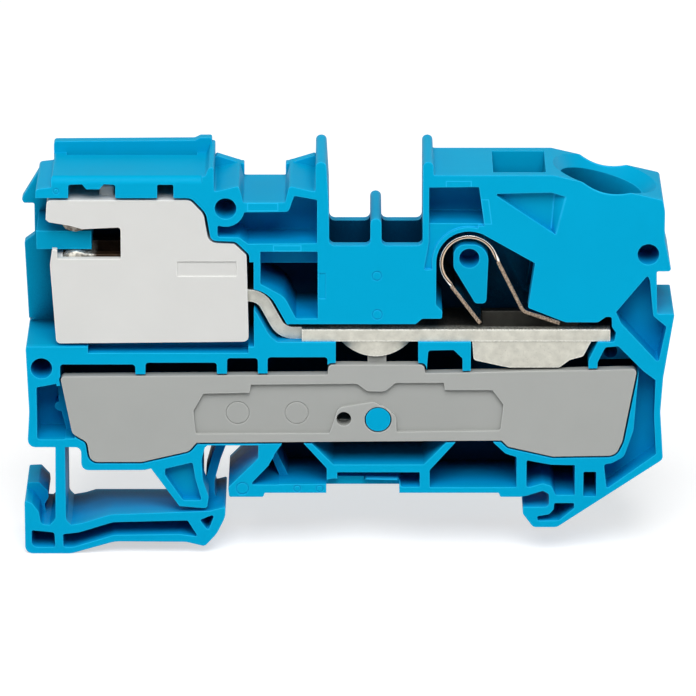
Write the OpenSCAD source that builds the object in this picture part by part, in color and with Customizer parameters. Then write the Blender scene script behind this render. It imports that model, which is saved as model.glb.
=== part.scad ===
// Rail-mounted disconnect terminal block, millimetres.
// X runs along the block, Y along the rail, Z up from the rail. The origin lies on the rail's top plane,
// above its centre line and in the middle of the block's width. The open side faces -Y.
// Outline points are [x, z, corner radius], in the plane of the open side.

/* [Housing] */
// Length of the block
block_l = 68.45; // [64:0.25:75]
// Height of the block, from the latch's lower edge to the tops of the fins
block_h = 43.25; // [43.05:0.05:45]
// Width of the block along the rail
block_w = 10; // [9:0.5:13]
// Thickness of the closed back wall
back_wall = 1.2; // [0.8:0.1:1.6]
// Thickness of the front walls that close the shafts
front_wall = 1.2; // [0.9:0.1:1.5]
// Thickness of the fins
fin_w = 1.1; // [0.9:0.05:1.3]
// Height of the flat top of the clamp head
head_z = 35.45; // [35.2:0.05:36]
// Height of the marker carrier's ledge
carrier_z = 35.3; // [34.9:0.05:35.6]
// Width of the marker slot
marker_w = 4.35; // [4:0.05:4.6]
// Height of the marker slot's floor
marker_z = 32.5; // [32.2:0.05:32.8]
// Diameter of the guide pin bores
pin_d = 2.25; // [1.8:0.05:2.5]
// Depth of the middle guide pin bore
pin_depth = 6; // [3:0.5:6.5]
// Depth of the shallow pockets in the open side
pocket_depth = 3; // [2:0.5:6]
// Depth of the deeper pockets under the saddle, in the head and beside the insert
deep_pocket = 5; // [3:0.5:7]

/* [Jumper tower] */
// Width of each jumper slot
slot_w = 4.3; // [4.1:0.05:4.5]
// Height of the slots' bottom
slot_z = 27.8; // [27.4:0.1:28.4]
// Thickness of the divider between the slots
divider_w = 1.15; // [0.9:0.05:1.3]
// Height of the divider
divider_z = 30.75; // [30:0.05:32]

/* [Rail clip] */
// Width of the mounting rail
rail_w = 35; // [34.8:0.1:35.2]
// Thickness of the rail's flange
rail_t = 1; // [0.9:0.05:1.2]
// Clearance between the rail and the hook
rail_gap = 0.15; // [0.05:0.05:0.3]
// Reach of the latch's nose under the rail
latch_lap = 1; // [0.6:0.1:1.4]

/* [Current bar] */
// Thickness of the current bar
bar_t = 1.3; // [1.1:0.05:1.45]
// Height of the bar's underside
bar_z = 17.2; // [17.1:0.05:17.3]
// Rise of the S-bend
bar_rise = 4.1; // [3.9:0.05:4.3]
// Steepness of the S-bend
bar_slope = 62; // [58:1:66]
// Centre-line radius of the S-bend
bar_bend = 2; // [1.7:0.1:2.2]

/* [Clamp] */
// Thickness of the spring strip
spring_t = 0.38; // [0.3:0.02:0.5]
// Centre-line radius of the spring's loop
loop_r = 2.87; // [2.8:0.01:2.95]
// Diameter of the conductor channel
conductor_d = 8.8; // [6:0.1:9]
// Diameter of the funnel's mouth
funnel_d = 11.2; // [9.2:0.1:11.4]

/* [Disconnect slide] */
// Travel of the slide towards the busbar
slide_travel = 3; // [2:0.1:3.1]
// Clearance between the slide and the housing
slide_gap = 0.3; // [0.2:0.05:0.4]
// Thickness of the guide tongue between the contact's jaws
tongue_t = 2; // [1.8:0.05:2.2]
// Thickness of each leaf of the bridge contact
leaf_t = 1.2; // [1:0.1:1.5]

/* [Base insert] */
// Clearance round the base insert
insert_gap = 0.2; // [0.1:0.05:0.3]
// Thickness of the insert's front plate
insert_plate = 1.2; // [1:0.1:2]
// Depth of the insert's recessed panel
insert_recess = 0.4; // [0.2:0.05:0.5]
// Diameter of the pin that holds the insert
boss_d = 2.6; // [2.2:0.1:2.9]

/* [Hidden] */
$fn = 48;
past = 0.5;
blue = [0, 0.62, 0.8];
pale_grey = [0.86, 0.86, 0.84];
mid_grey = [0.66, 0.67, 0.66];
tin = [0.82, 0.8, 0.74];
copper_tan = [0.72, 0.56, 0.45];

// Depths are counted from the open side
front_y = -block_w / 2;
inner = block_w - back_wall;

// Outlines are drawn with their left end at drawn_end; left of stretch_x they follow the block's length
right_x = 30.55;
drawn_end = -37.9;
stretch_x = -19.5;
stretch = (right_x - block_l - stretch_x) / (drawn_end - stretch_x);

// Lower edge of the latch and tops of the fins
latch_z = -6.35;
fin_z = block_h + latch_z;

// Clearances
part_gap = 0.3;
contact_gap = 0.05;
contact_room = 0.15;

// Jumper tower, marker slot and fins, along X
divider_x = -0.65;
slot_right = [divider_x - divider_w / 2, divider_x + divider_w / 2 + slot_w];
slot_left = [slot_right[0] - slot_w, divider_x + divider_w / 2];
fin_root = 1.4;
fin_left = [slot_left[0] - fin_root, slot_right[1]];
marker_x = -12.28;

// Sockets for the jumpers' pins in the bar, one on each side of the divider
socket_w = 1.9;
socket_shift = 1.75;

// Clamp head: its flat top ends at head_flat and slopes down to a shoulder
head_flat = 17.8;
head_end = 29.22;
shoulder_z = 32.75;
head_slope = atan((head_z - shoulder_z) / (head_end - head_flat));

// Heights that follow the current bar
bar_top = bar_z + bar_t;
bar_mid = bar_z + bar_t / 2;
bar_high = bar_mid + bar_rise;
channel_z = bar_top + 0.7;
bar_front = 0.3;
bar_back = inner - 1.2;
collar_front = bar_front + 0.15;
neck_front = 1.2;
neck_back = inner - 1.6;

// Collar under the bar where jumpers go in, round in front view and in plan
collar_back = bar_back - 0.15;
collar_half = 4.1;
collar_drop = 1.7;
collar_bulge = 6;
collar_r = (collar_half * collar_half + collar_drop * collar_drop) / (2 * collar_drop);

// Clamp: centre of the spring's loop, and the directions of its two legs
clamp = [9.05, bar_top + 7.03];
left_leg = -53.5;
right_leg = -64;
tail_leg = -19.5;
spring_front = 0.7;
spring_back = inner - 1.5;
spring_step = 0.4;
chamber = [clamp.x, clamp.y + 0.42];
chamber_r = loop_r + spring_t / 2 + 0.35;
chamber_turn = 58;
chamber_rib = 0.45;
post_front = 0.6;

// Lower edge and depth of the band across the top of the square saddle pocket
lintel_z = 25;
lintel_depth = 3;

// Low ribs, carrier windows, the sill under the slide, shallow recesses, and the marks left by the mould
rib_depth = 3;
window_depth = 5.4;
sill_depth = 2.5;
recess_depth = 1;
mark_depth = 0.06;
mark_line = 0.12;
mould_marks = [[-0.55, 24.5, 0.55], [-0.5, 20.25, 0.58], [-33.9, 33.75, 0.34], [-14.7, 0.95, 0.7],
    [-8.92, 0.93, 0.42], [-6.55, 0.93, 0.42]];

// Marker carrier: rounding of the ledge's front edge, and the groove along the back wall
ledge_r = 0.8;
groove_w = 0.9;
groove_depth = 0.6;

// Slide: its floor, roof, faces and front wall, and the sunk plate on its front
slide_z = 17;
slide_top = 32.7;
slide_front = 0.2;
slide_back = inner - part_gap;
slide_wall = 0.8;
plate_depth = 0.12;

// Right-hand end and top of the wider gap beside the slide
slide_relief = [-13.4, 26];

// Mouth of the slide, the tongue in it and the contact's two leaves
mouth_z = 27.9;
mouth_x = -27.25;
mouth_stop = 0.1;
tongue_front = 1.7;
leaf_front = slide_front + slide_wall + 0.2;
leaf_back = neck_back - leaf_t;

// Places and depths of the guide pin bores, the post's bore and a moulding core, and the insert's pin
left_bore = [-35.7, 14.3, pin_depth + 1];
middle_bore = [-16.3, 31.85, pin_depth];
right_bore = [27.75, 26.85, pin_depth - 1];
post_bore = [clamp.x + 0.05, clamp.y + 0.7, 4.5];
core_bore = [24.05, 15.2, 7.5];
core_d = 1.45;
pin_boss = pin_d / 2 + 0.85;
boss_place = [-0.4, 8.6];

// Conductor channel: the middle of its mouth on the slope, and its lean from the vertical
wire_x = 23.3;
wire_mouth = [wire_x, head_z - (wire_x - head_flat) * tan(head_slope)];
wire_lean = 21;
wire_l = 15.5;

// Place along X after the stretch
function along(x) = x + min(0, x - stretch_x) * (stretch - 1);
function fitted(p) = [for (q = p) [along(q[0]), q[1], q[2]]];

function flat(p) = [p[0], p[1]];
function unit(v) = v / norm(v);
function turned(v, a) = [v.x * cos(a) - v.y * sin(a), v.x * sin(a) + v.y * cos(a)];
function reversed(list) = [for (i = [len(list) - 1:-1:0]) list[i]];
function moved(list, by) = [for (p = list) [p[0] + by.x, p[1] + by.y, p[2]]];
function turn_sum(p) =
    let (n = len(p))
    [for (i = [0:n - 1]) cross(flat(p[i]), flat(p[(i + 1) % n]))] * [for (q = p) 1];

// Points of the arc that rounds corner b between a and c; the radius gives way to short edges
function corner(a, b, c) =
    let (p = flat(b), u = flat(a) - p, v = flat(c) - p)
    let (half = acos(unit(u) * unit(v)) / 2)
    let (r = min(b[2], 0.48 * min(norm(u), norm(v)) * tan(half)))
    r < 0.02 || half > 89 ? [p] :
    let (centre = p + unit(unit(u) + unit(v)) * r / sin(half))
    let (start = p + unit(u) * r / tan(half) - centre)
    let (sweep = (180 - 2 * half) * sign(cross(v, u)))
    let (steps = max(2, ceil(abs(sweep) / (r > 1 ? 9 : 20))))
    [for (i = [0:steps]) centre + turned(start, sweep * i / steps)];

// Closed outline with its corners rounded
function rounded(p) =
    let (n = len(p))
    [for (i = [0:n - 1]) each corner(p[(i + n - 1) % n], p[i], p[(i + 1) % n])];

// Open path with its inner corners rounded
function bent(p) =
    let (last = len(p) - 1)
    [for (i = [0:last]) each i == 0 || i == last ? [flat(p[i])] : corner(p[i - 1], p[i], p[i + 1])];

// Outline moved outwards by g on every side
function grown(p, g) =
    let (n = len(p), way = sign(turn_sum(p)))
    [for (i = [0:n - 1])
        let (d1 = unit(flat(p[i]) - flat(p[(i + n - 1) % n])), d2 = unit(flat(p[(i + 1) % n]) - flat(p[i])))
        let (n1 = way * [d1.y, -d1.x], n2 = way * [d2.y, -d2.x])
        let (q = flat(p[i]) + g * (n1 + n2) / (1 + n1 * n2))
        [q.x, q.y, max(0, p[i][2] + g * sign(way * cross(d1, d2)))]];

function arc(centre, r, from, to) =
    let (steps = ceil(abs(to - from) / 6))
    [for (i = [0:steps]) let (a = from + (to - from) * i / steps) centre + r * [cos(a), sin(a)]];

// One edge of a strip that follows a path, h to the left of it
function strip_edge(path, h) =
    let (last = len(path) - 1)
    [for (i = [0:last])
        let (d = unit(path[min(i + 1, last)] - path[max(i - 1, 0)]))
        path[i] + h * [-d.y, d.x]];
function strip(path, t) = concat(strip_edge(path, t / 2), reversed(strip_edge(path, -t / 2)));

// Extrudes an outline from depth d0 to depth d1 behind the open side
module slab(d0, d1) {
    translate([0, front_y + d1, 0]) rotate([90, 0, 0]) linear_extrude(d1 - d0) children();
}

module shape(p) {
    polygon(rounded(fitted(p)));
}

// Outline with a gap all round it
module room(p, gap) {
    polygon(rounded(grown(fitted(p), gap)));
}

// Rectangle between two places along X and two heights
module pane(x, z) {
    translate([along(x[0]), z[0]]) square([along(x[1]) - along(x[0]), z[1] - z[0]]);
}

module disc(p, r) {
    translate([along(p.x), p.y]) circle(r);
}

// Round hole or pin along Y
module round_y(place, d, d0, d1) {
    translate([along(place.x), front_y + d1, place.y]) rotate([90, 0, 0]) cylinder(d = d, h = d1 - d0);
}

// Outline of the block with its top contour, without the latch
body_outline = concat(
    [[-37.35, 17, 0.6], [-37.05, 9.5, 8], [-37.3, 5.55, 0.8], [-31.65, 5.55, 0.6],
     [-31.65, 2.98, 0.75],
     [-25, 3, 2], [-20.2, 4.2, 0.5], [-18.35, 5.75, 0], [-13, 5.75, 0], [-13, 4.3, 0.3], [-16.2, 1.05, 0.3],
     [-16.1, 0, 0.2], [-12.5, 0, 0.2], [-12.35, 0.45, 0.1], [-5.85, 0.45, 0], [-5.85, 1.1, 0],
     [1.85, 1.1, 0], [1.85, 0.45, 0], [12.35, 0.45, 0.1], [12.5, 0, 0.2], [14.6, 0, 0.3]],
    [[15.3, 0.12, 0.3], [rail_w / 2 - 0.5, 0.68, 0.35], [rail_w / 2 + rail_gap, 0.3, 0.3],
     [rail_w / 2 + rail_gap, -rail_t - rail_gap, 0.45], [14.9, -rail_t - rail_gap, 0.15], [14.9, -1.9, 0.3],
     [16, -3.4, 0.6], [18.5, -3.4, 0.8], [29.6, 4.2, 0.6], [29.25, 9.5, 4], [29.5, 13.3, 3],
     [right_x + 0.03, 20.3, 0.15], [28.75, 20.3, 0.2], [28.65, 25, 0.2], [30.2, 25, 0.3], [29.42, 28.4, 1.5],
     [29.42, 31.5, 2], [head_end, shoulder_z, 0.4], [head_flat, head_z, 1]],
    [[fin_left[1] + fin_w, head_z, 0.2], [fin_left[1] + fin_w, fin_z, fin_w / 2.1],
     [fin_left[1], fin_z, fin_w / 2.1], [slot_right[1], slot_z, 0.6], [slot_left[1], slot_z, 0.6],
     [slot_left[1], divider_z, divider_w / 2.1], [slot_right[0], divider_z, divider_w / 2.1],
     [slot_right[0], slot_z, 0.6], [slot_left[0], slot_z, 0.6], [slot_left[0] - 0.05, 32.5, 3],
     [fin_left[0] + fin_w, fin_z, fin_w / 2.1], [fin_left[0], fin_z, fin_w / 2.1]],
    [[fin_left[0], 33.65, 0.2], [marker_x + marker_w / 2 + 0.45, 34.3, 0.3],
     [marker_x + marker_w / 2, marker_z, 0.2], [marker_x - marker_w / 2, marker_z, 0.2],
     [marker_x - marker_w / 2 - 0.45, 34.3, 0.3], [-17.5, 33.65, 0.2], [-17.5, carrier_z + 1, 0.2],
     [-18, carrier_z + 1, 0.2], [-18.4, carrier_z, 0.4], [-34.4, carrier_z, 0.3], [-34.4, 34.15, 0.1],
     [-36.05, 33.95, 0.4], [-36.05, 17, 0]]);

// The back wall stands taller behind the carrier and the marker slot, and holds the busbar notch
carrier_back = [[-34.45, 33, 0], [-34.45, 36.5, 0.3], [-19.65, 36.6, 0.6], [-19.05, fin_z, 0.2],
    [-17.85, fin_z, 0.2], [-17.7, 33, 0]];
busbar_back = [[-30, slide_z, 0], [-30, 33.6, 0], [-35.9, 33.6, 0.3], [-37.95, 30.2, 0.4],
    [-37.7, 29.75, 0.2], [-36.6, 29.75, 0.2], [-36.6, 26.3, 0.2], [-37.7, 25.5, 0.3],
    [-37.35, slide_z, 0]];
marker_back_left = [[-17.5, marker_z, 0], [-17.5, 35, 0.2], [marker_x - marker_w / 2 - 0.3, 34.1, 0.2],
    [marker_x - marker_w / 2, 34.1, 0.2], [marker_x - marker_w / 2, marker_z, 0]];
marker_back_right = [[fin_left[0], marker_z, 0], [fin_left[0], 35, 0.2],
    [marker_x + marker_w / 2 + 0.3, 34.1, 0.2], [marker_x + marker_w / 2, 34.1, 0.2],
    [marker_x + marker_w / 2, marker_z, 0]];

// Disconnect slide, without its mouth
slide_outline = [[-34.9, slide_top, 0.5], [-20, slide_top, 0.8], [-18.6, 31.2, 1.5], [-18.1, 28.05, 1],
    [-15.4, 27.95, 0.6], [-14.15, 26.7, 0.3], [-13.95, slide_z + 0.2, 0.6], [-34.1, slide_z, 0.5],
    [-34.65, 25.7, 1], [-34.4, 27.3, 0], [-35.05, 30.4, 0]];
mouth_top = mouth_z + 1.85;
mouth_floor = mouth_z - 1.6;
slide_mouth = [[mouth_x, mouth_floor, 0.12], [mouth_x, mouth_top, 0.3], [-30.2, mouth_top - 0.15, 1],
    [-31.2, mouth_top - 0.2, 1], [-32.6, mouth_top + 0.2, 1], [-34.7, mouth_top + 0.55, 0.3],
    [-35.15, mouth_top + 0.95, 0.3], [-37, mouth_top + 0.9, 0], [-37, 27.3, 0], [-33.9, 27.3, 0.1],
    [-33.85, mouth_floor, 0.1]];

// Base insert
insert_outline = [[-33.75, 13.4, 0.4], [-32.55, 7.05, 0.8], [-31, 6.1, 0.8], [-30.7, 3.9, 0.9],
    [-25.3, 3.9, 1.5], [-20.3, 5.1, 0.8], [-19.5, 6.05, 0.2], [12.6, 6.3, 0.2], [13.3, 5.6, 0.6],
    [18, 4.5, 1], [24.6, 4.6, 1.2], [25.3, 6.2, 1.2], [26.75, 14.2, 0.4], [4.55, 13.75, 0.15],
    [4.4, 14.7, 0.5], [-5.6, 14.7, 0.5], [-5.7, 13.6, 0.15]];
insert_panel = [[-18.75, 11.5, 0.15], [-19.8, 9.6, 0.2], [-19.55, 7.05, 0.15], [-5.5, 7.1, 0.15],
    [-4.6, 9.95, 0.9], [-0.8, 10.6, 0.9], [1.5, 9.05, 0.8], [1.55, 7.25, 0.15], [12.45, 7.4, 0.3],
    [12.75, 10.3, 0.3], [11.6, 11.9, 0.15], [6.6, 11.9, 0.1], [6.5, 12.7, 0.1], [1.4, 12.7, 0.6],
    [0.35, 11.75, 1], [-1.55, 11.75, 1], [-2.6, 12.6, 0.6], [-13.75, 12.5, 0.1], [-13.9, 11.6, 0.1]];

// Centre lines of the current bar and of the clamp spring
bar_foot_x = -10.5;
bar_path = bent([[along(-21.5), bar_high, 0], [bar_foot_x - bar_rise / tan(bar_slope), bar_high, bar_bend],
    [bar_foot_x, bar_mid, bar_bend], [23.9, bar_mid, 0]]);
loop_path = arc(clamp, loop_r, right_leg + 90, left_leg + 270);
left_way = [cos(left_leg), sin(left_leg)];
right_way = [cos(right_leg), sin(right_leg)];
loop_end = loop_path[len(loop_path) - 1];
left_tip = loop_end + 5.95 * left_way;
bend_spot = loop_path[0] + 7.1 * right_way;
tail_tip = bend_spot + 4.1 * [cos(tail_leg), sin(tail_leg)];
right_path = bent([concat(tail_tip, 0), concat(bend_spot, 1), concat(loop_path[0], 0)]);
spring_path = concat(right_path, [for (i = [1:len(loop_path) - 1]) loop_path[i]], [left_tip]);

module slide_cavity() {
    room(slide_outline, slide_gap);
    pane([-40, -30], [slide_z - slide_gap, slide_top + slide_gap]);
    pane([-15, slide_relief[0]], [slide_z - slide_gap, slide_relief[1]]);
}

module bar_channel() {
    intersection() {
        polygon(strip(bar_path, bar_t + 0.9));
        pane([-16, -8], [bar_z, bar_z + 8]);
    }
    pane([-9.8, 4], [bar_z, channel_z]);
}

// Chamber of the clamp spring, with the recess for the end of the current bar
module clamp_chamber() {
    disc(chamber, chamber_r);
    shape([[clamp.x - chamber_r, chamber.y, 0], [clamp.x - chamber_r, channel_z + 2.1, 0.3],
        [6.3, channel_z + 1.4, 0.3], [6.25, channel_z + 0.6, 0.2], [4.2, channel_z + 0.6, 0.3],
        [3.5, channel_z, 0.2], [3.5, bar_z, 0], [24.3, bar_z, 0.3], [24.5, bar_mid + 0.4, 0.3],
        [24.05, channel_z - 0.3, 0.2], [24.05, channel_z + 0.8, 0.3], [23.4, channel_z + 0.8, 0.4],
        [22.6, channel_z + 0.2, 0.4], [19.2, channel_z + 0.2, 0.8], [15.25, channel_z + 1.8, 0.2],
        [15.95, clamp.y + 0.35, 0.15],
        [chamber.x + chamber_r * cos(chamber_turn), chamber.y + chamber_r * sin(chamber_turn), 0]]);
}

module collar_spaces() {
    pane([-4.85, 3.8], [14, bar_z + past]);
    shape([[4.65, 13.5, 0], [4.85, 16.3, 0.3], [7.5, 16.35, 0.2], [8.45, 15.4, 0.3], [8.45, 13.5, 0]]);
    shape([[9.3, 13.5, 0], [9.3, bar_z + past, 0], [22.6, bar_z + past, 0], [22.6, bar_z, 0],
        [21.65, 15.2, 0.6], [21.65, 13.5, 0]]);
}

module saddle_pocket() {
    difference() {
        shape([[-14.4, marker_z - 1.05, 0.4], [-9.75, marker_z - 1, 0.5], [-9.15, 33.25, 0.2],
            [fin_left[0] + 0.15, 32.8, 0.15], [fin_left[0] + 0.15, 28.05, 0.15], [-14, 28, 0.3],
            [-14.9, 28.7, 0.4], [-17.15, 28.75, 0.25], [-17.15, 30, 0.2], [-15.9, 30, 0]]);
        disc(middle_bore, pin_boss);
    }
}

module saddle_window() {
    shape([[-12.7, 27.15, 0.1], [fin_left[0] + 0.2, 27.15, 0.1], [fin_left[0] + 0.2, channel_z + 0.6, 0.1],
        [-9, channel_z + 0.6, 0.2], [-10.2, channel_z + 3, 2], [-12.7, channel_z + 4.4, 0.3]]);
}

// Pocket above the spring; its floor is the curved rib over the chamber
module head_pocket() {
    difference() {
        shape([[fin_left[1] + 0.65, 34.15, 0.1], [10.05, 34.2, 0.15], [10.7, 29.6, 0], [9, clamp.y, 0],
            [4.35, clamp.y - 0.4, 0.2], [fin_left[1] + 0.65, 28.2, 1.5]]);
        disc(chamber, chamber_r + chamber_rib);
        pane([10, 12], [28, 29.95]);
    }
}

module floor_windows() {
    for (w = [[-33.75, -25.85, 14.75], [-24.8, -17.3, 14.95], [-16.25, -13, 15.45], [-12, -5.7, 15.55]])
        shape([[w[0], 13.4, 0], [w[1], 13.4, 0], [w[1], w[2], 0.35], [w[0], w[2], 0.35]]);
}

// Pocket below the left guide pin bore, with a round lug in it
module end_pocket() {
    difference() {
        shape([[-36.25, 12.2, 0.2], [-34.15, 12.6, 0], [-34.05, 9.6, 0], [-33.25, 6.4, 0.2],
            [-36.25, 6.4, 0.3]]);
        disc(left_bore, pin_boss);
        disc([-33.95, 9.1], 0.52);
    }
}

// Windows above the slide, one with a tab that hangs into it
module carrier_windows() {
    shape([[-32.65, slide_top, 0], [-32.65, 34.45, 0.25], [-31.2, 34.5, 0.1], [-30.75, 33.95, 0.1],
        [-29.4, 33.95, 0.1], [-28.95, 34.5, 0.1], [-27.75, 34.45, 0.25], [-27.75, slide_top, 0]]);
    shape([[-23.4, slide_top, 0], [-21.7, slide_top, 0], [-21.7, 34.45, 0.2], [-23.4, 34.45, 0.2]]);
}

module base_pockets() {
    shape([[-11.75, 3.7, 0.15], [-13.7, 1.55, 0.2], [-13.6, 1.35, 0.1], [-10.8, 1.35, 0.1]]);
    shape([[-10.2, 6.4, 0], [-8.6, 6.4, 0], [-5.8, 3.2, 0.2], [-5.8, 1.4, 0.1], [-9.9, 1.4, 0.1],
        [-11.4, 4.6, 0.3]]);
    shape([[-8, 6.6, 0], [-5.1, 3.6, 0.2], [4.4, 3.6, 0.2], [7.3, 6.6, 0]]);
    shape([[-4.7, 2.75, 0.1], [4, 2.75, 0.1], [4, 1.1, 0.1], [2.1, 1.1, 0.2], [1.7, 1.9, 0.2],
        [-4.7, 2, 0.1]]);
    shape([[5.05, 3, 0.3], [8.2, 6.6, 0], [11.2, 6.6, 0], [13, 4.85, 0.8], [14.2, 4.45, 0.2],
        [14.2, 1.05, 0.1], [5.05, 1.05, 0.1]]);
    shape([[15.25, 4.1, 0.15], [17.8, 3.6, 0.5], [20.35, 3.55, 0.1], [20.35, 0.2, 0.1], [18.35, 0.2, 0.1],
        [17.9, 1.2, 0.5], [17, 1.5, 0.5], [15.5, 1.05, 0.2], [15.25, 1.15, 0.1]]);
    shape([[21.25, 0.05, 0.15], [22.6, 0.05, 0.15], [22.6, 2.8, 0.15], [21.25, 2.8, 0.15]]);
    shape([[18.2, -0.7, 0.15], [20.3, -0.7, 0.1], [20.3, -1.3, 0.1], [18.7, -2.65, 0.3], [16.5, -2.7, 0.15],
        [16.4, -2.2, 0.15], [17.7, -1.95, 0.3], [18.15, -1.4, 0.3]]);
}

// Shallow pockets in the right-hand wall
module side_pockets() {
    shape([[22.55, 13.8, 0], [22.6, 15, 0.5], [23.4, 16.65, 0.3], [24.75, 16.75, 0.3], [27.6, 13.8, 0]]);
    shape([[27.7, 24.55, 0.15], [27.95, 24, 0.2], [28.35, 20.1, 0.4], [29.75, 18.9, 0.2], [29, 15.1, 0.15],
        [28.7, 15.2, 0.15], [25, 19.3, 0.5], [24.45, 20.5, 0.2]]);
    shape([[26.95, 14.35, 0.2], [28.7, 13, 0.2], [28.6, 9, 0.3], [28.85, 4.75, 0.2], [23.7, 0.9, 0.15],
        [23.4, 3.65, 0.3], [24.2, 3.75, 0.8], [25.5, 4.5, 1.2], [26.45, 7.4, 2]]);
}

// Ribs that end below the open side
module low_ribs() {
    shape([[-35.1, 12.3, 0], [-33.4, 12.4, 0], [-32.3, 6.5, 0], [-35.1, 6.5, 0]]);
    shape([[-11.9, 3.6, 0], [-11.1, 5, 0], [-9.6, 1.4, 0], [-11, 1.4, 0]]);
}

// Shafts behind the front wall: two for jumpers, one for the operating tool
module hidden_shafts() {
    for (i = [0, 1])
        translate([slot_left[i], channel_z - past])
            square([slot_w, slot_z - channel_z + 2 * past]);
    shape([[11.5, head_z + past, 0], [11.9, 30, 1], [clamp.x + 2, clamp.y, 0], [15.6, clamp.y, 0],
        [16.9, 33, 1], [17.05, head_z + past, 0]]);
}

// Round channel to the clamp, under a funnel that cuts into both side faces
module conductor_channel() {
    funnel_h = (funnel_d - conductor_d) / 2;
    translate([wire_mouth.x, 0, wire_mouth.y]) {
        rotate([0, wire_lean, 0]) translate([0, 0, -wire_l]) cylinder(d = conductor_d, h = wire_l);
        rotate([0, head_slope, 0]) {
            translate([0, 0, -funnel_h]) cylinder(d1 = conductor_d, d2 = funnel_d, h = funnel_h);
            translate([0, 0, -0.01]) cylinder(d = funnel_d, h = 3);
        }
    }
}

// Ring left by the mould in a front face, given as [x, z, radius]
module mould_ring(p) {
    slab(-past, mark_depth) difference() {
        disc(p, p[2]);
        disc(p, p[2] - mark_line);
    }
}

// Teardrop post inside the spring
module spring_post() {
    shape(moved([[-1.6, 2.2, 1.8], [2.1, 2.2, 1.8], [1.85, -4.25, 0.45], [0.7, -4.25, 0.45],
        [-1.6, -0.3, 1.2]], clamp));
}

// Lever of the rail latch with its nose, and the leg, bracket and strut that carry it
lever_outline = [[-37.7, -0.4, 0.2], [-36.9, -0.75, 0.4], [-36.2, -1.7, 0.4],
    [-36, -3.1, 0.5], [-34.6, -3.2, 0.3], [-33, -3.2, 0.4], [-31.6, -2.95, 2], [-28.6, -2, 3],
    [-18.2, -rail_t - 0.6, 0.3], [-rail_w / 2 + latch_lap, -rail_t - 0.15, 0.15],
    [-rail_w / 2 + latch_lap, -2.2, 2], [-17.4, -4.1, 3], [-18.7, -5.55, 0.5], [-20.7, -5.05, 2],
    [-28.2, -5, 3], [-32.8, latch_z, 2], [-37.7, latch_z, 0.8]];
latch_leg = [[-34.35, 6, 0], [-33.35, 6, 0], [-33.35, -2.6, 0.6], [-32.6, -3.4, 0], [-35.3, -3.4, 0],
    [-34.45, -2.5, 0.6]];
latch_bracket = [[-24.4, 3.3, 0], [-21.35, -1.05, 0.25], [-18.45, -1.3, 0.35], [-18.25, 0, 0.8],
    [-18.85, 1.8, 2], [-19, 4.1, 1.5], [-18.6, 5.6, 0], [-20.1, 4.8, 0]];
bracket_pocket = [[-22.83, 3.15, 0.15], [-19.92, 3.85, 0.2], [-19.66, 2.1, 1], [-19, -0.4, 0.2],
    [-20.95, -0.4, 0.3], [-22.83, 2.4, 0.2]];
prong_back = [[-37.7, -2, 0], [-37.6, 0.15, 0.2], [-36.3, 0.2, 0.3],
    [-35.4, -0.8, 0.3], [-35.35, -1.5, 0.3], [-35.8, -2.3, 0.3], [-35.6, -3.3, 0],
    [-37.7, -3.4, 0]];
strut_path = bent([[-16.4, 6, 0], [-17.5, 3, 4], [-18.2, 0.4, 2], [-18.2, -1, 1], [-17.8, -2.2, 0]]);
strut_front = 4;
strut_t = 0.95;
bracket_front = strut_front - part_gap;
bracket_right = strut_path[len(strut_path) - 2].x - strut_t / 2 - part_gap;
latch_back = block_w - part_gap;
bracket_hollow = 1.2;

// The lever's top sinks towards the back
lever_sink = 5.9;
lever_span = [-33, -19];

module latch_pockets() {
    shape([[-37, -3.75, 0.2], [-34.6, -4, 0.3], [-34.5, -5.65, 0.2], [-37, -5.65, 0.6]]);
    shape([[-33.7, -4.2, 0.2], [-32, -4, 1], [-28.4, -2.85, 2], [-20.5, -2.65, 0.2], [-19.4, -4.5, 0.15],
        [-21.3, -4.2, 0.8], [-28.3, -4.3, 2], [-32.6, -5.65, 1], [-33.65, -5.65, 0.2]]);
    shape([[-19.2, -2.6, 0.15], [-17.6, -1.9, 0.2], [-18.35, -3.85, 0.2]]);
}

module latch_lever() {
    difference() {
        slab(0, latch_back) shape(lever_outline);
        translate([along(lever_span[0]), front_y, -rail_t - 0.6])
            rotate([-lever_sink, 0, 0])
                cube([along(lever_span[1]) - along(lever_span[0]), block_w + 2, 4]);
        slab(-past, inner - 1) latch_pockets();
    }
}

module bracket() {
    difference() {
        slab(0, latch_back) shape(latch_bracket);
        slab(bracket_front, block_w) pane([bracket_right, -17], [-2, 6]);
        slab(-past, bracket_hollow) shape(bracket_pocket);
    }
}

module rail_latch() {
    latch_lever();
    bracket();
    slab(0, latch_back) shape(latch_leg);
    slab(strut_front, latch_back) {
        shape(prong_back);
        polygon(strip(strut_path, strut_t));
    }
}

// What is taken off the ledge's front edge to round it
module ledge_edge() {
    edge = [along(-35), along(-18.75)];
    difference() {
        translate([edge[0], front_y - past, carrier_z - ledge_r])
            cube([edge[1] - edge[0], ledge_r + past, ledge_r + past]);
        translate([edge[0] - past, front_y + ledge_r, carrier_z - ledge_r])
            rotate([0, 90, 0]) cylinder(r = ledge_r, h = edge[1] - edge[0] + 2 * past);
    }
}

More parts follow.
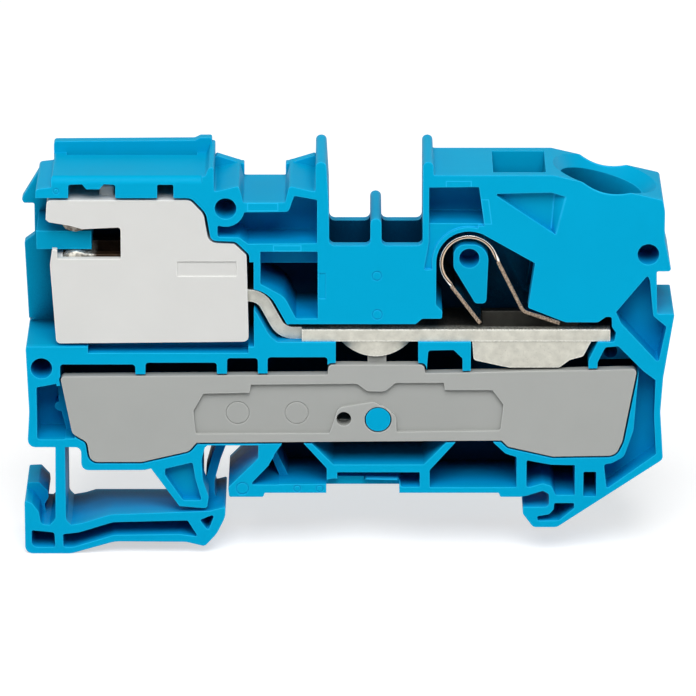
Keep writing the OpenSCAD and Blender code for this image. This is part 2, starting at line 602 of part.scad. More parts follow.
module housing_shell() {
    difference() {
        union() {
            slab(0, block_w) shape(body_outline);
            slab(inner, block_w) {
                shape(carrier_back);
                shape(busbar_back);
                shape(marker_back_left);
                shape(marker_back_right);
            }
        }
        slab(-past, inner) {
            slide_cavity();
            bar_channel();
            clamp_chamber();
            collar_spaces();
            floor_windows();
            base_pockets();
            room(insert_outline, insert_gap);
            difference() {
                saddle_window();
                pane([-14, -6], [lintel_z, lintel_z + 3]);
            }
        }
        slab(-past, deep_pocket) {
            saddle_pocket();
            head_pocket();
            end_pocket();
        }
        slab(-past, pocket_depth) side_pockets();
        slab(-past, lintel_depth) saddle_window();
        slab(-past, rib_depth) low_ribs();
        slab(-past, window_depth) carrier_windows();
        slab(-past, sill_depth) pane([-30.8, -14], [slide_z - 1, slide_z]);
        slab(-past, recess_depth) {
            shape([[11.6, 33.45, 0.15], [17.6, 33.6, 0.8], [19.1, 33.1, 0.2], [18.1, 29, 0.1]]);
            shape([[-5.85, 1, 0], [1.85, 1, 0], [1.85, 1.85, 0], [-5.2, 2.05, 0], [-5.85, 1.9, 0]]);
        }
        slab(inner - groove_w, inner) pane([-33.1, -19.4], [carrier_z - groove_depth, carrier_z + past]);
        slab(front_wall, inner) hidden_shafts();
        ledge_edge();
        conductor_channel();
    }
}

// Tongue between the contact's jaws; it ends where the slide's mouth stops at the end of its travel
module guide_tongue() {
    tongue_x = [along(-36.1), along(mouth_x) - slide_travel - mouth_stop];
    translate([tongue_x[0], mouth_z - tongue_t / 2]) square([tongue_x[1] - tongue_x[0], tongue_t]);
}

module housing() {
    color(blue) difference() {
        union() {
            housing_shell();
            rail_latch();
            slab(post_front, inner) spring_post();
            slab(tongue_front, inner) guide_tongue();
            round_y(boss_place, boss_d, 0.1, inner);
        }
        for (p = [left_bore, middle_bore, right_bore]) round_y(p, pin_d, -past, p[2]);
        round_y(post_bore, pin_d - 0.15, -past, post_bore[2]);
        round_y(core_bore, core_d, -past, core_bore[2]);
        for (p = mould_marks) mould_ring(p);
        slab(-past, mark_depth) pane([-6.58, -5.9], [22, 24.8]);
    }
}

module disconnect_slide() {
    color(pale_grey) difference() {
        slab(slide_front, slide_back) shape(slide_outline);
        slab(slide_front - past, slide_back + past) shape(slide_mouth);
        slab(slide_front + slide_wall, slide_back + past) {
            pane([-37, mouth_x], [mouth_floor, mouth_top]);
            room(contact_outline, contact_room);
            pane([-23, -10], [bar_high - 1, bar_high + 1]);
        }
        slab(slide_front - past, slide_front + plate_depth)
            shape([[-21.4, 24.4, 0.1], [-15.2, 24.4, 0.1], [-15.2, 26, 0.1], [-21.4, 26, 0.1]]);
    }
}

// Fork with jaws for the busbar on the left and for the current bar on the right
jaw_gap = tongue_t / 2 + contact_gap;
bar_jaw = bar_t / 2 + contact_gap;
contact_outline = [[-33.5, mouth_z + jaw_gap + 1, 0.4], [-33, mouth_z + jaw_gap + 0.3, 0.3],
    [-32, mouth_z + jaw_gap, 0.8], [-30.8, mouth_z + jaw_gap + 0.35, 0.5],
    [-26.6, mouth_z + jaw_gap + 0.4, 0.3],
    [-26.6, mouth_z - jaw_gap - 0.4, 0.3], [-30.8, mouth_z - jaw_gap - 0.35, 0.5],
    [-32, mouth_z - jaw_gap, 0.8], [-33, mouth_z - jaw_gap - 0.3, 0.3], [-33.5, mouth_z - jaw_gap - 1, 0.4],
    [-33.3, mouth_z - jaw_gap - 1.9, 0.4], [-27, mouth_z - jaw_gap - 2.2, 1], [-25.5, 20, 1.5],
    [-23, bar_high - bar_jaw - 1.7, 0.5], [-15.2, bar_high - bar_jaw - 1.4, 0.4],
    [-15.2, bar_high - bar_jaw - 0.3, 0.3], [-16.2, bar_high - bar_jaw, 0.6],
    [-17.4, bar_high - bar_jaw - 0.3, 0.4], [-22.2, bar_high - bar_jaw - 0.3, 0.2],
    [-22.2, bar_high + bar_jaw + 0.3, 0.2], [-17.4, bar_high + bar_jaw + 0.3, 0.4],
    [-16.2, bar_high + bar_jaw, 0.6], [-15.2, bar_high + bar_jaw + 0.3, 0.3],
    [-15.2, bar_high + bar_jaw + 1.4, 0.4], [-20.5, bar_high + bar_jaw + 2, 1], [-22, 30.5, 1],
    [-26, mouth_z + jaw_gap + 2, 0.6], [-33.3, mouth_z + jaw_gap + 1.8, 0.4]];

module bridge_contact() {
    color(tin) {
        slab(leaf_front, leaf_front + leaf_t) shape(contact_outline);
        slab(leaf_back, leaf_back + leaf_t) shape(contact_outline);
        slab(leaf_front, leaf_back + leaf_t) intersection() {
            shape(contact_outline);
            pane([-26.2, -22.2], [24.6, 28.8]);
        }
    }
}

module jumper_collar() {
    intersection() {
        slab(collar_front - past, collar_back + past) intersection() {
            disc([divider_x, bar_z + collar_r - collar_drop], collar_r);
            pane([divider_x - collar_half, divider_x + collar_half], [bar_z - 2 * collar_drop, bar_z + 0.1]);
        }
        translate([divider_x, front_y + collar_front + collar_bulge, bar_z - 2 * collar_drop])
            cylinder(r = collar_bulge, h = 3 * collar_drop);
        translate([divider_x, front_y + collar_back - collar_bulge, bar_z - 2 * collar_drop])
            cylinder(r = collar_bulge, h = 3 * collar_drop);
    }
}

module current_bar() {
    wire_collar = [[9.45, bar_z + 0.1, 0], [9.6, 15.1, 0.4], [12.4, 14.45, 0.5], [13.4, 14.25, 0.5],
        [18.6, 14.25, 0.5], [19.7, 15.1, 0.5], [21.1, 15.5, 0.4], [22, bar_z + 0.1, 0]];
    color(tin) difference() {
        union() {
            slab(neck_front, neck_back) polygon(strip(bar_path, bar_t));
            slab(bar_front, bar_back)
                shape([[-8.4, bar_z, 0], [23.9, bar_z, 0.1], [23.9, bar_top, 0.1], [-8.4, bar_top, 0]]);
            jumper_collar();
            slab(collar_front, collar_back) shape(wire_collar);
        }
        for (x = [-1, 1])
            slab(bar_front + 2.2, bar_back - 2.2)
                translate([divider_x + x * socket_shift - socket_w / 2, 10]) square([socket_w, 10]);
        slab(bar_front + 1.1, bar_back - 1.1) pane([10.6, 20.7], [10, 20]);
    }
}

// The strip is wider along its legs than round the loop
module clamp_spring() {
    left_step = loop_end + 0.85 * left_way;
    right_step = loop_path[0] + 1.05 * right_way;
    left_out = turned(left_way, -90);
    right_out = turned(right_way, 90);
    color(copper_tan) difference() {
        slab(spring_front, spring_back) polygon(strip(spring_path, spring_t));
        for (d = [[0, spring_front + spring_step], [spring_back - spring_step, inner]])
            slab(d[0], d[1])
                polygon([left_step + left_out, left_step - left_out, right_step - right_out,
                    right_step + right_out, clamp + [6, 6], clamp + [-6, 6]]);
    }
}

// A plate in front, with ribs behind it that stand on the back wall
module base_insert() {
    insert_back = inner;
    rib_front = insert_plate - 0.1;
    rib_t = 1.1;
    color(mid_grey) difference() {
        union() {
            slab(0, insert_plate) shape(insert_outline);
            slab(insert_plate - 0.3, insert_plate + 2)
                pane([divider_x - 0.85, divider_x + 1.1], [13, 15.4]);
            intersection() {
                slab(rib_front, insert_back) shape(insert_outline);
                union() {
                    round_y(boss_place, boss_d + 2.4, rib_front, insert_back);
                    slab(rib_front, insert_back) {
                        pane([-31, 25], [7, 7 + rib_t]);
                        for (x = [-28, -12, 8.5, 21]) pane([x, x + rib_t], [4, 10.5]);
                    }
                }
            }
        }
        slab(-past, insert_recess) shape(insert_panel);
        for (x = [-15.15, -8.95])
            translate([0, insert_recess, 0]) mould_ring([x, 9.25, 1.28]);
        round_y(boss_place, boss_d + 0.25, -past, insert_back + past);
        round_y([-4, 8.7], 1.55, -past, insert_plate + past);
    }
}

housing();
disconnect_slide();
bridge_contact();
current_bar();
clamp_spring();
base_insert();
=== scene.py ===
"""Looks of a rail-mounted disconnect terminal block: finishes of its pieces, stage and camera."""

import math

import bmesh
import bpy
from bpy.props import FloatProperty, FloatVectorProperty, PointerProperty
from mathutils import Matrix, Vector


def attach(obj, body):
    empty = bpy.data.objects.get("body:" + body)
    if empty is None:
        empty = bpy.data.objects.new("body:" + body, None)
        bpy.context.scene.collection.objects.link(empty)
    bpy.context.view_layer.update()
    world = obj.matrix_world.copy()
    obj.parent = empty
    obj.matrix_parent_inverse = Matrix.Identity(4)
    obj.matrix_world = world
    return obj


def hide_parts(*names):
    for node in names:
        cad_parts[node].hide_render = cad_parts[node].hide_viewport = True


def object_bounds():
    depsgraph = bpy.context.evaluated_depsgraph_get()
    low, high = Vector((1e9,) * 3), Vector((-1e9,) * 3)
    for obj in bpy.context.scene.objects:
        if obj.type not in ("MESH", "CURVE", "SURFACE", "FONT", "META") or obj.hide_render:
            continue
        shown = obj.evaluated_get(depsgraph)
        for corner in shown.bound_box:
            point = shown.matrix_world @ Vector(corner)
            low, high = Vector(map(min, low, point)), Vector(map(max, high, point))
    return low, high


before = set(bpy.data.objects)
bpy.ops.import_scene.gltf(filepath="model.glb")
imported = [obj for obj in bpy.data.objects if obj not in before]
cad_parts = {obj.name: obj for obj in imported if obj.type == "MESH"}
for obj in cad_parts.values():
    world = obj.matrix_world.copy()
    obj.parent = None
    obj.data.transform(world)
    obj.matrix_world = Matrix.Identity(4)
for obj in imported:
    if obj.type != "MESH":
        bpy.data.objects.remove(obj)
CAD_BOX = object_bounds()

bl_info = {
    "name": "Disconnect Terminal Block",
    "version": (1, 0, 0),
    "blender": (4, 5, 0),
    "location": "3D View > Sidebar > Terminal Block",
    "description": "Dresses the solids of a disconnect terminal block and sets up its studio",
    "category": "Object",
}

MM_PER_METRE = 1000
BLACK = (0, 0, 0)

# Stretches over which the moulded finish changes, mostly where its painted shade fades, in metres:
# along Y from the open side's face to the walls behind it and on to the deep floors, along Z up to
# the top, along X into the funnel
OPEN_FACE = (-0.00495, -0.0049)
FACE_TO_WALLS = (-0.0049, -0.004)
WALLS_TO_FLOORS = (0.0004, 0.0036)
UPPER_WALLS = (0.03, 0.034)
BELOW_TOP = (0.0285, 0.034)
INTO_FUNNEL = (0.0172, 0.0182)
POCKET_REACH = 0.011

# Faint outlines that the mould left on the open side, drawn as painted highlight lines, in
# millimetres: X and Z of the middle, width, height, and how far X falls as Z rises
MOULD_MARKS = (
    (7.95, 34.47, 2.6, 0.7, 0),
    (-12.43, 32.03, 3.14, 0.8, 0),
    (-9.89, 27.52, 2.86, 0.58, 0),
    (10.84, 31.5, 0.75, 2.65, 0.129),
)
MARK_LINE = (0.03, 0.08)

# Current bar, along Y: the painted lit strip on its rolled faces near the open side, and the
# sheared faces that lie deep behind the open side, which get painted shade
BAR_LIT_STRIP = (-0.0046, -0.003)
BAR_DEPTH = (-0.0032, -0.002)
BAR_REACH = 0.006

# Bridge contact: end of the rubbed tips along X, and the gap between the jaws along Z, above which
# the tips get painted shade
JAW_TIPS = (-0.0305, -0.0298)
JAW_GAP = (0.027, 0.028)

# Clamp spring: middle of the strip along Y and half its width where the legs begin, middle of the
# loop, and the radii of its painted highlight ring and of the painted dark reflection line inside
# that
STRIP_MIDDLE = -0.001
LEG_HALF_WIDTH = (0.003, 0.0032)
LOOP_CENTRE = (0.00905, 0, 0.02553)
HIGHLIGHT_RING = (0.00293, 0.00298)
DARK_REFLECTION_LINE = 0.0029
DARK_LINE_FADE = (0.00004, 0.00009)

# Forms added to the solids, in millimetres
HALF_WIDTH = 5
RIB_MIDDLE = (9.05, 25.95)
RIB_RADIUS = 3.7
RIB_DEGREES = range(65, 196, 10)
WEB_FRONT = 0.35
WEB_DEPTH = 4.8
BUMP_LOW = (-29.5, 2, 32.5)
BUMP_HIGH = (-27.95, 4.6, 33.8)
BUMP_ROUNDING = 0.3

# Copies of the solids: distance between points that are one, and the steepest turn that is round
MERGE_DISTANCE = 1e-6
ROUND_TURN = math.radians(30)

# Stage: azimuth and elevation of the lamps in degrees, lengths in metres
PICTURE_CENTRE = Vector((-0.00356, -0.005, 0.01657))
SENSOR_WIDTH = 36
CLIP = (0.01, 20)
FLOOR_GAP = 0.00005
FLOOR_GLOW = 0.58
LAMP_SIZE = 0.6
SIDE_LAMP = (58, 26)
BACK_LAMP = (130, 12)
TOP_LAMP = (0, 52)
TOP_LAMP_DISTANCE = 0.9


def colour(name, description, default):
    return FloatVectorProperty(name=name, description=description, default=default, size=3,
                               min=0, max=1, subtype="COLOR")


def length(name, description, default):
    return FloatProperty(name=name, description=description, default=default, min=0,
                         unit="LENGTH", subtype="DISTANCE", precision=5)


def power(name, description, default):
    return FloatProperty(name=name, description=description, default=default, min=0,
                         unit="POWER")


class BlockFinishes(bpy.types.PropertyGroup):
    """Colours and surface sizes of the pieces."""

    housing_blue: colour("Housing blue", "Colour of the moulded housing", (0.0, 0.37, 0.635))
    slide_grey: colour("Slide grey", "Colour of the disconnect slide", (0.69, 0.69, 0.67))
    insert_grey: colour("Insert grey", "Colour of the base insert", (0.395, 0.405, 0.39))
    tin: colour("Tin", "Colour of the tinned current bar", (0.55, 0.54, 0.475))
    contact_tin: colour("Contact tin", "Colour of the bridge contact", (0.72, 0.69, 0.62))
    spring_tan: colour("Spring tan", "Colour of the clamp spring", (0.4, 0.305, 0.225))
    edge_radius: length("Edge radius", "Rounding of the moulded edges", 0.0001)
    metal_edge: length("Metal edge", "Rounding of the stamped edges", 0.00006)
    grain: length("Grain", "Size of the moulded surface's grain", 0.00012)


class BlockStage(bpy.types.PropertyGroup):
    """Camera, floor and lamps."""

    camera_distance: length("Camera distance", "From the camera to the open side", 0.7)
    camera_elevation: FloatProperty(name="Camera elevation", description="Angle above the horizon",
                                    default=math.radians(18.6), subtype="ANGLE")
    frame_width: length("Frame width", "Width of the picture at the open side", 0.07288)
    floor_size: length("Floor size", "Side of the floor", 6)
    floor_white: colour("Floor white", "Colour of the floor", (0.55, 0.55, 0.55))
    side_power: power("Side power", "Power of each large lamp beside the camera", 0.8)
    top_power: power("Top power", "Power of the lamp above the camera", 9.0)
    back_power: power("Back power", "Power of each lamp behind the block", 2.5)
    fill: FloatProperty(name="Fill", description="Strength of the light from all round",
                        default=0.13, min=0)


class Level:
    """A value that changes over a surface; arithmetic on it adds Math nodes to its tree."""

    def __init__(self, finish, socket):
        self.finish = finish
        self.socket = socket

    def math(self, operation, first, second):
        return self.finish.node("Math", {"operation": operation}, {0: first, 1: second})

    def __add__(self, other):
        return self.math("ADD", self, other)

    def __sub__(self, other):
        return self.math("SUBTRACT", self, other)

    def __rsub__(self, other):
        return self.math("SUBTRACT", other, self)

    def __mul__(self, other):
        return self.math("MULTIPLY", self, other)

    def __or__(self, other):
        return self.math("MAXIMUM", self, other)

    def __abs__(self):
        return self.finish.node("Math", {"operation": "ABSOLUTE"}, {0: self})

    __radd__ = __add__
    __rmul__ = __mul__
    __ror__ = __or__


class Finish:
    """The nodes of a material or of the world."""

    def __init__(self, owner):
        owner.use_nodes = True
        self.owner = owner
        self.tree = owner.node_tree
        self.tree.nodes.clear()

    def node(self, kind, settings=None, inputs=None, output=0):
        """New node of that kind; its settings come first, then its sockets' values or links."""
        made = self.tree.nodes.new("ShaderNode" + kind)
        for key, value in (settings or {}).items():
            setattr(made, key, value)
        for key, value in (inputs or {}).items():
            if isinstance(value, Level):
                self.tree.links.new(value.socket, made.inputs[key])
            else:
                made.inputs[key].default_value = value
        return Level(self, made.outputs[output]) if made.outputs else None

    def noise(self, size, detail, stretch=(1, 1, 1)):
        """Cloudy value from 0 to 1 whose features are about that size."""
        place = self.node("TexCoord", output="Object")
        place = self.node("Mapping", None, {"Vector": place, "Scale": stretch})
        return self.node("TexNoise", None, {"Vector": place, "Scale": 1 / size, "Detail": detail})

    def between(self, low, high, amount, start=0.0, end=1.0):
        """Level that runs from low to high as amount goes from start to end."""
        return self.node("MapRange", None, {"Value": amount, "From Min": start, "From Max": end,
                                            "To Min": low, "To Max": high})

    def mix(self, amount, first, second):
        """Colour between two others."""
        return self.node("Mix", {"data_type": "RGBA"},
                         {0: amount, 6: opaque(first), 7: opaque(second)}, output=2)

    def cut_edge(self):
        """1 on a stamped strip's sheared edges, which face along Y, and 0 on its rolled faces."""
        facing = self.node("TexCoord", output="Normal")
        facing = self.node("SeparateXYZ", None, {0: facing}, output="Y")
        return self.between(0, 1, abs(facing), 0.5, 0.8)

    def outer_edge(self, radius):
        """1 along outer edges, and 0 at that distance from them."""
        inside = self.node("AmbientOcclusion", {"inside": True, "only_local": True, "samples": 6},
                           {"Distance": radius}, output="AO")
        return self.between(1, 0, inside, 0.5, 0.9)

    def along(self, axis):
        """Place along one axis of the block, in metres."""
        place = self.node("TexCoord", output="Object")
        return self.node("SeparateXYZ", None, {0: place}, output=axis)

    def recess(self, depth):
        """1 deep inside a pocket of about that depth, and 0 on open faces."""
        open_sky = self.node("AmbientOcclusion", {"samples": 8}, {"Distance": depth}, output="AO")
        return self.between(1, 0, open_sky, 0.28, 0.6)

    def seen(self):
        """1 for what the camera, mirrors and glass see, and 0 for light that falls on the block."""
        camera, mirror, glass = (self.node("LightPath", output=f"Is {ray} Ray")
                                 for ray in ("Camera", "Glossy", "Transmission"))
        return camera | mirror | glass

    def relief(self, height, strength, edge, depth=0.00003, samples=6):
        """Normal of a fine relief over edges that are rounded to the radius edge."""
        soft = self.node("Bevel", {"samples": samples}, {"Radius": edge})
        return self.node("Bump", None, {"Strength": strength, "Distance": depth, "Height": height,
                                        "Normal": soft})

    def surface(self, shader, end="OutputMaterial"):
        self.node(end, None, {"Surface": shader})
        return self.owner

    def solid(self, sockets):
        """Finished material of a piece from its shader's sockets."""
        return self.surface(self.node("BsdfPrincipled", None, sockets))


def opaque(value):
    return value if isinstance(value, Level) else (*value, 1.0)


def shaded(rgb, factor):
    return tuple(min(1.0, c * factor) for c in rgb)


def deepened(rgb, factor):
    """Colour of light that has met the same surface twice."""
    return tuple(factor * c * c for c in rgb)


def new_finish(name):
    return Finish(bpy.data.materials.new(name))


def moulded(name, rgb, edge, grain, shade=1.0, marks=()):
    """Satin moulded polyamide: faint clouds, fine grain, painted highlights along edges, and
    painted shade in deep pockets.
    """
    f = new_finish(name)
    clouds = f.noise(size=0.006, detail=3)
    fine = f.noise(size=grain, detail=2)
    streaks = f.noise(size=0.0012, detail=2, stretch=(0.25, 1, 1))
    tint = f.mix(clouds, shaded(rgb, 0.95), shaded(rgb, 1.04))
    x, y, z = (f.along(axis) for axis in "XYZ")

    # Painted shade: faces behind the open side are darkened towards black, less towards the top
    wall_shade = f.between(0, 0.16, y, *FACE_TO_WALLS) * f.between(1, 0.4, z, *UPPER_WALLS)
    tint = f.mix(wall_shade, tint, BLACK)
    # Painted shade: pockets are darkened by ambient occlusion, less near the top and into the
    # funnel; their colour is deepened as painted bounced light, and their deep floors are darkened
    # further
    sunk = f.between(1, 0.1, z, *BELOW_TOP) | f.between(0, 1, x, *INTO_FUNNEL)
    pocket = f.recess(POCKET_REACH) * sunk * shade
    tint = f.mix(pocket * 0.5, tint, deepened(rgb, 1.4))
    floor_shade = pocket * f.between(0, 0.96, y, *WALLS_TO_FLOORS)
    tint = f.mix(floor_shade, tint, deepened(rgb, 0.13))

    # Painted highlight: outer edges are lightened towards a pale colour, in streaks, except on deep
    # floors
    pale = tuple(min(1.0, 1.4 * c + 0.02) for c in rgb)
    edge_highlight = f.outer_edge(edge * 1.6) * (0.3 + 0.7 * streaks) * (1 - floor_shade)
    tint = f.mix(edge_highlight, tint, pale)
    # Outlines of the mould's inserts, which are real marks, drawn as painted highlight lines in the
    # pale colour
    for middle_x, middle_z, wide, high, lean in marks:
        up = z * MM_PER_METRE - middle_z
        across = x * MM_PER_METRE - middle_x + up * lean
        off = (abs(across) - wide / 2) | (abs(up) - high / 2)
        line = f.between(0.6, 0, abs(off), *MARK_LINE) * f.between(1, 0, y, *OPEN_FACE)
        tint = f.mix(line, tint, pale)

    return f.solid({
        "Base Color": tint,
        "Roughness": f.between(0.42, 0.56, fine * 0.5 + clouds * 0.5),
        "Specular IOR Level": 0.03,
        "IOR": 1.53,
        "Normal": f.relief(fine * 0.7 + streaks * 0.5, 0.12, edge),
    })


def tinned(name, rgb, edge):
    """Matt tin on rolled copper: bright sheared edges with painted glints and painted shade deep
    inside, and lustreless rolled faces full of specks, darkened with painted shade but for a
    painted lit strip near the open side.
    """
    f = new_finish(name)
    mottle = f.noise(size=0.0009, detail=4)
    specks = f.noise(size=0.00018, detail=3)
    rolled = f.noise(size=0.00012, detail=2, stretch=(0.06, 1, 1))
    y = f.along("Y")

    bright = f.mix(f.between(0, 1, mottle, 0.3, 0.7), shaded(rgb, 0.86), shaded(rgb, 1.1))
    bright = f.mix(f.between(0, 0.4, specks, 0.6, 0.75), bright, shaded(rgb, 0.45))
    # Painted highlight: near-white specks along the outer edges
    edge_glint = f.outer_edge(edge * 3) * f.between(0.3, 1, specks, 0.46, 0.54)
    bright = f.mix(edge_glint, bright, (0.95, 0.95, 0.9))
    # Painted shade: sheared faces deep behind the open side are darkened
    bright = f.mix(f.between(0, 0.8, y, *BAR_DEPTH), bright, shaded(rgb, 0.1))

    # Rolled faces: lustreless and speckled, with painted shade that takes them close to black, and
    # more painted shade in recesses
    dull_and_shaded = f.mix(f.between(0, 1, specks, 0.46, 0.72), shaded(rgb, 0.03), shaded(rgb, 0.4))
    dull_and_shaded = f.mix(f.recess(BAR_REACH) * 0.7, dull_and_shaded, shaded(rgb, 0.02))
    # Painted light: a speckled strip of the rolled faces near the open side is lightened as if lit
    lit_strip = f.between(1, 0, y, *BAR_LIT_STRIP) * f.between(0.3, 1, specks, 0.4, 0.6)
    dull_and_shaded = f.mix(lit_strip, dull_and_shaded, shaded(rgb, 1.4))

    return f.solid({
        "Base Color": f.mix(f.cut_edge(), dull_and_shaded, bright),
        "Metallic": 0.7,
        "Roughness": f.between(0.36, 0.6, mottle * 0.5 + specks * 0.5),
        "Normal": f.relief(specks * 0.7 + rolled * 0.4 + mottle * 0.4, 0.25, edge),
    })


def rubbed_contact(name, rgb, edge):
    """Tinned contact: tips rubbed bright and crinkled, with the upper jaw's tips dimmed as painted
    shade, and brown and tarnished behind them, darkened nearly to black as painted shade.
    """
    f = new_finish(name)
    crinkle = f.noise(size=0.0005, detail=4)
    cloud = f.noise(size=0.0012, detail=3)
    bright = f.mix(f.between(0, 1, crinkle, 0.42, 0.58), shaded(rgb, 0.4), shaded(rgb, 1.35))
    # Tarnish, darkened nearly to black as painted shade
    tarnish_and_shade = f.mix(cloud, (0.012, 0.007, 0.004), (0.07, 0.04, 0.02))
    # Painted shade: tips of the upper jaw are only a quarter as bright
    lower = f.between(1, 0.25, f.along("Z"), *JAW_GAP)
    tip = f.between(1, 0, f.along("X"), *JAW_TIPS) * lower
    return f.solid({
        "Base Color": f.mix(tip, tarnish_and_shade, bright),
        "Metallic": 0.7,
        "Roughness": f.between(0.28, 0.5, cloud),
        "Normal": f.relief(crinkle, 0.6, edge, depth=0.0001),
    })


def strip_steel(name, rgb, edge):
    """Rolled spring strip with a high polish, a painted highlight ring and a painted dark
    reflection line on the loop, and tan, torn edges where the legs have their full width.
    """
    f = new_finish(name)
    torn = f.noise(size=0.00016, detail=3)
    cloud = f.noise(size=0.002, detail=3)
    wide = f.between(0, 1, abs(f.along("Y") - STRIP_MIDDLE), *LEG_HALF_WIDTH)
    sheared = f.cut_edge() * wide
    tan = f.mix(f.between(0, 1, torn, 0.35, 0.65), shaded(rgb, 0.25), shaded(rgb, 1.2))

    place = f.node("TexCoord", output="Object")
    place = f.node("Mapping", None, {"Vector": place, "Scale": (1, 0, 1)})
    radius = f.node("VectorMath", {"operation": "DISTANCE"}, {0: place, 1: LOOP_CENTRE},
                    output="Value")
    polished_and_glint = f.mix(cloud, shaded(rgb, 1.3), shaded(rgb, 2.1))
    # Painted highlight: a near-white ring along the loop's outer edge
    polished_and_glint = f.mix(f.between(0, 1, radius, *HIGHLIGHT_RING), polished_and_glint, (1, 0.93, 0.85))
    # Painted reflection: a dark line just inside that ring
    line = f.between(0.95, 0, abs(radius - DARK_REFLECTION_LINE), *DARK_LINE_FADE)
    polished_and_glint = f.mix(line, polished_and_glint, shaded(rgb, 0.05))

    return f.solid({
        "Base Color": f.mix(sheared, polished_and_glint, tan),
        "Metallic": f.between(1.0, 0.75, sheared),
        "Roughness": f.between(0.14, 0.45, sheared * (0.6 + 0.4 * cloud)),
        "Normal": f.relief(torn * sheared, 0.3, edge * 3, samples=8),
    })


def at(x, depth, z):
    """Point from millimetres, with its depth counted from the open side."""
    return Vector((x, depth - HALF_WIDTH, z)) / MM_PER_METRE


def pocket_floor(shape):
    """Web that closes the pocket above the spring chamber down to the chamber's rib."""
    middle_x, middle_z = RIB_MIDDLE
    rib = [(middle_x + RIB_RADIUS * math.cos(turn), middle_z + RIB_RADIUS * math.sin(turn))
           for turn in map(math.radians, RIB_DEGREES)]
    outline = [(4.9, 30.15), (11.6, 30.11), (11.6, 29.4), *rib, (4.3, 25), (4.9, 28.1)]
    face = shape.faces.new([shape.verts.new(at(x, WEB_FRONT, z)) for x, z in outline])
    pushed = bmesh.ops.extrude_face_region(shape, geom=[face])["geom"]
    verts = [item for item in pushed if isinstance(item, bmesh.types.BMVert)]
    bmesh.ops.translate(shape, verts=verts, vec=(0, WEB_DEPTH / MM_PER_METRE, 0))
    faces = {near for vert in (*verts, *face.verts) for near in vert.link_faces}
    bmesh.ops.recalc_face_normals(shape, faces=list(faces))


def snap_bump(shape):
    """Low bump on top of the slide, seen through a window of the housing."""
    low, high = at(*BUMP_LOW), at(*BUMP_HIGH)
    bump = bmesh.ops.create_cube(shape, size=1)["verts"]
    bmesh.ops.scale(shape, verts=bump, vec=high - low)
    bmesh.ops.translate(shape, verts=bump, vec=(low + high) / 2)
    edges = list({edge for vert in bump for edge in vert.link_edges})
    bmesh.ops.bevel(shape, geom=edges, offset=BUMP_ROUNDING / MM_PER_METRE, offset_type="OFFSET",
                    affect="EDGES", segments=3, profile=0.5, material=-1)


def recess_ramp(shape):
    """Slanted end of the shallow recess below the operating slot."""
    corners = ((19.1, 0, 33.1), (18.1, 0, 29.05), (19.2, 1.1, 33.1), (18.2, 1.1, 29.05),
               (17.9, 1.1, 33.55), (17.6, 1.1, 29.4))
    verts = [shape.verts.new(at(*corner)) for corner in corners]
    bmesh.ops.convex_hull(shape, input=verts)


def add_object(name, data):
    """Object of that data in the scene."""
    made = bpy.data.objects.new(name, data)
    bpy.context.scene.collection.objects.link(made)
    return made


def add_mesh(name, shape, material):
    """Object made from a bmesh, which is freed."""
    mesh = bpy.data.meshes.new(name)
    shape.to_mesh(mesh)
    shape.free()
    mesh.materials.append(material)
    return add_object(name, mesh)


def smooth_copy(node, body, material, details=()):
    """Copy of a CAD node with joined faces, so that its round stretches shade smoothly."""
    shape = bmesh.new()
    shape.from_mesh(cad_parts[node].data)
    bmesh.ops.remove_doubles(shape, verts=shape.verts, dist=MERGE_DISTANCE)
    for detail in details:
        detail(shape)
    for face in shape.faces:
        face.smooth = True
    for edge in shape.edges:
        edge.smooth = edge.is_manifold and edge.calc_face_angle() < ROUND_TURN
    piece = add_mesh(node + "_skin", shape, material)
    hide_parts(node)
    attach(piece, body)
    return piece


class BLOCK_OT_housing(bpy.types.Operator):
    """Blue moulded housing"""

    bl_idname = "terminal_block.housing"
    bl_label = "Housing"

    def execute(self, context):
        p = context.scene.block_finishes
        material = moulded("blue_polyamide", p.housing_blue, p.edge_radius, p.grain,
                           marks=MOULD_MARKS)
        piece = smooth_copy("housing", "block", material, (pocket_floor, recess_ramp))
        return {"FINISHED"}


class BLOCK_OT_slide(bpy.types.Operator):
    """Pale disconnect slide"""

    bl_idname = "terminal_block.slide"
    bl_label = "Disconnect slide"

    def execute(self, context):
        p = context.scene.block_finishes
        material = moulded("pale_polyamide", p.slide_grey, p.edge_radius, p.grain, shade=0.1)
        piece = smooth_copy("disconnect_slide", "slide", material, (snap_bump,))
        return {"FINISHED"}


class BLOCK_OT_insert(bpy.types.Operator):
    """Grey base insert"""

    bl_idname = "terminal_block.insert"
    bl_label = "Base insert"

    def execute(self, context):
        p = context.scene.block_finishes
        material = moulded("grey_polyamide", p.insert_grey, p.edge_radius, p.grain)
        piece = smooth_copy("base_insert", "block", material)
        return {"FINISHED"}


class BLOCK_OT_metal(bpy.types.Operator):
    """Tinned current bar and bridge contact, and the clamp spring"""

    bl_idname = "terminal_block.metal"
    bl_label = "Metal pieces"

    def execute(self, context):
        p = context.scene.block_finishes
        bar = tinned("tinned_copper", p.tin, p.metal_edge)
        smooth_copy("current_bar", "block", bar)
        contact = rubbed_contact("tinned_contact", p.contact_tin, p.metal_edge)
        smooth_copy("bridge_contact", "slide", contact)
        spring = strip_steel("spring_steel", p.spring_tan, p.metal_edge)
        smooth_copy("clamp_spring", "block", spring)
        return {"FINISHED"}


def toward(azimuth, elevation):
    """Direction from the block; azimuth 0 is the open side, elevation is above the horizon."""
    a, e = math.radians(azimuth), math.radians(elevation)
    return Vector((math.sin(a) * math.cos(e), -math.cos(a) * math.cos(e), math.sin(e)))


def aim(thing, direction):
    """Turns a camera or lamp to look along a direction."""
    thing.rotation_euler = direction.to_track_quat("-Z", "Y").to_euler()


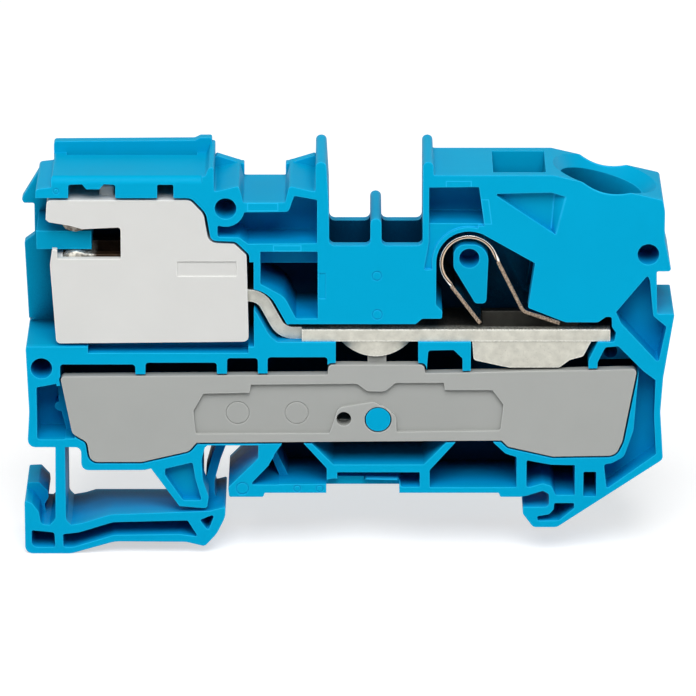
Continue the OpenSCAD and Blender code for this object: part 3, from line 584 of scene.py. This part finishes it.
def studio_camera(p):
    """Camera before the open side."""
    back = toward(0, math.degrees(p.camera_elevation))
    data = bpy.data.cameras.new("camera")
    data.sensor_width = SENSOR_WIDTH
    data.lens = SENSOR_WIDTH * p.camera_distance / p.frame_width
    data.clip_start, data.clip_end = CLIP
    camera = add_object("camera", data)
    camera.location = PICTURE_CENTRE + back * p.camera_distance
    aim(camera, -back)
    return camera


def studio_lamp(name, place, watts):
    """Square lamp that faces the block."""
    data = bpy.data.lights.new(name, "AREA")
    data.size = LAMP_SIZE
    data.energy = watts
    lamp = add_object(name, data)
    lamp.location = PICTURE_CENTRE + place
    aim(lamp, -place)


def floor_paint(rgb):
    """White floor that keeps the block's shadow and can't be seen from below."""
    f = new_finish("floor_paint")
    paint = f.node("BsdfDiffuse", None, {"Color": opaque(rgb)})
    glow = f.node("Emission", None, {"Strength": f.seen() * FLOOR_GLOW})
    lit = f.node("AddShader", None, {0: paint, 1: glow})
    clear = f.node("BsdfTransparent")
    below = f.node("NewGeometry", output="Backfacing")
    return f.surface(f.node("MixShader", None, {0: below, 1: lit, 2: clear}))


def studio_walls(fill):
    """White walls that the camera, mirrors and glass see, with a weak light from all round."""
    f = Finish(bpy.data.worlds.new("studio"))
    strength = f.between(fill, 1.0, f.seen())
    walls = f.node("Background", None, {"Color": opaque((1, 1, 1)), "Strength": strength})
    return f.surface(walls, "OutputWorld")


class BLOCK_OT_stage(bpy.types.Operator):
    """Camera, floor, lamps and surroundings"""

    bl_idname = "terminal_block.stage"
    bl_label = "Stage"

    def execute(self, context):
        p = context.scene.block_stage
        scene = context.scene
        scene.camera = studio_camera(p)

        shape = bmesh.new()
        bmesh.ops.create_grid(shape, x_segments=1, y_segments=1, size=p.floor_size / 2)
        bmesh.ops.translate(shape, verts=shape.verts, vec=(0, 0, CAD_BOX[0].z - FLOOR_GAP))
        floor = add_mesh("floor", shape, floor_paint(p.floor_white))

        for name, side in (("left", -1), ("right", 1)):
            for kind, (azimuth, elevation), watts in (("_lamp", SIDE_LAMP, p.side_power),
                                                      ("_back_lamp", BACK_LAMP, p.back_power)):
                studio_lamp(name + kind, toward(azimuth * side, elevation), watts)
        studio_lamp("top_lamp", toward(*TOP_LAMP) * TOP_LAMP_DISTANCE, p.top_power)

        scene.world = studio_walls(p.fill)
        scene.view_settings.view_transform = "Standard"
        return {"FINISHED"}


class BLOCK_PT_panel(bpy.types.Panel):
    """Sizes, colours and build steps of the terminal block"""

    bl_idname = "BLOCK_PT_panel"
    bl_label = "Terminal Block"
    bl_space_type = "VIEW_3D"
    bl_region_type = "UI"
    bl_category = "Terminal Block"

    def draw(self, context):
        layout = self.layout
        for group in (context.scene.block_finishes, context.scene.block_stage):
            box = layout.box()
            for name in group.__annotations__:
                box.prop(group, name)
        for step in STEPS:
            layout.operator(step.bl_idname)


STEPS = (BLOCK_OT_stage, BLOCK_OT_housing, BLOCK_OT_slide, BLOCK_OT_metal, BLOCK_OT_insert)
CLASSES = (BlockFinishes, BlockStage, *STEPS, BLOCK_PT_panel)


def register():
    for cls in CLASSES:
        bpy.utils.register_class(cls)
    bpy.types.Scene.block_finishes = PointerProperty(type=BlockFinishes)
    bpy.types.Scene.block_stage = PointerProperty(type=BlockStage)


def unregister():
    del bpy.types.Scene.block_stage
    del bpy.types.Scene.block_finishes
    for cls in reversed(CLASSES):
        bpy.utils.unregister_class(cls)


def main():
    register()
    bpy.ops.terminal_block.stage()
    bpy.ops.terminal_block.housing()
    bpy.ops.terminal_block.slide()
    bpy.ops.terminal_block.metal()
    bpy.ops.terminal_block.insert()


if __name__ == "__main__":
    main()
